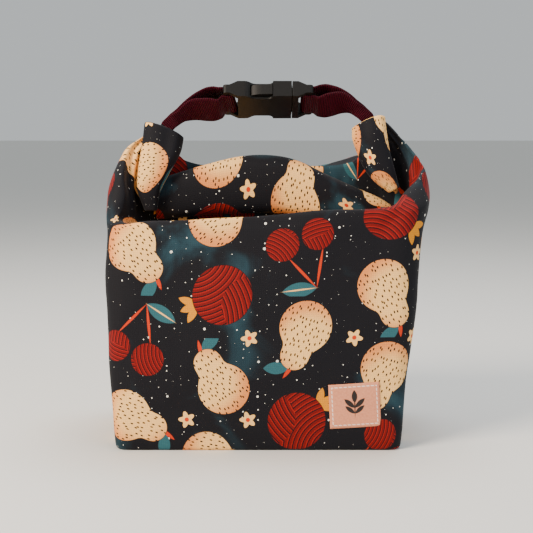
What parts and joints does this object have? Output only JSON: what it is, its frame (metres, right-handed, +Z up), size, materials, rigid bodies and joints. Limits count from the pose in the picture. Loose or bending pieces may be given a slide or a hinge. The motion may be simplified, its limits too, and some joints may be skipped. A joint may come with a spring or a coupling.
{
  "type": "roll-top lunch bag",
  "caption": "Boxed cloth lunch bag whose mouth rolls down, with the roll's two ends raised and clipped together by a webbing handle and a side-release buckle.",
  "frame": {"origin": "on the floor under the middle of the whole bag, in the plane of the base", "axes": "+X to the right of the front panel, seen from the front; +Y from the front panel to the back panel; +Z up from the base to the handle"},
  "size_m": [0.225, 0.134, 0.2528],
  "materials": {
    "printed_cotton": "printed woven cotton, matte",
    "lining_cotton": "plain woven cotton, matte",
    "webbing": "ribbed polyester webbing",
    "label_cotton": "plain cotton patch",
    "buckle_plastic": "moulded acetal, satin"
  },
  "bodies": {
    "bag": {"outer_front": "printed_cotton", "outer_back": "printed_cotton", "lining_front": "lining_cotton", "lining_back": "lining_cotton", "roll_middle": "printed_cotton", "roll_left_end": "printed_cotton", "roll_right_end": "printed_cotton", "fabric_label": "label_cotton", "left_strap_tail": "webbing", "right_strap_tail": "webbing"},
    "handle": {"left_strap": "webbing", "right_strap": "webbing"},
    "socket": {"buckle_socket": "buckle_plastic"},
    "plug": {"buckle_plug": "buckle_plastic"},
    "front_arm": {"front_prong": "buckle_plastic"},
    "rear_arm": {"rear_prong": "buckle_plastic"}
  },
  "joints": [
    {"name": "handle_swing", "type": "hinge", "parent": "bag", "child": "handle", "pos_m": [0.00126, -0.0095, 0.22416], "axis": [0.9992, 0, 0.0406], "range_deg": [-35, 35], "stiffness_Nm_per_rad": 0.03, "deforming": ["left_strap", "right_strap"]},
    {"name": "socket_release", "type": "slide", "parent": "handle", "child": "socket", "axis": [-1, 0, 0], "range_m": [0, 0.016]},
    {"name": "plug_release", "type": "slide", "parent": "handle", "child": "plug", "axis": [1, 0, 0], "range_m": [0, 0.016]},
    {"name": "front_arm_squeeze", "type": "hinge", "parent": "plug", "child": "front_arm", "pos_m": [0.01676, -0.02014, 0.24568], "axis": [0, -0.454, -0.891], "range_deg": [0, 9], "stiffness_Nm_per_rad": 0.5, "deforming": ["front_prong"]},
    {"name": "rear_arm_squeeze", "type": "hinge", "parent": "plug", "child": "rear_arm", "pos_m": [0.01676, 0.00214, 0.23433], "axis": [0, 0.454, 0.891], "range_deg": [0, 9], "stiffness_Nm_per_rad": 0.5, "deforming": ["rear_prong"]}
  ],
  "couplings": [
    {"joint": "plug_release", "follows": "socket_release", "ratio": 1}
  ]
}
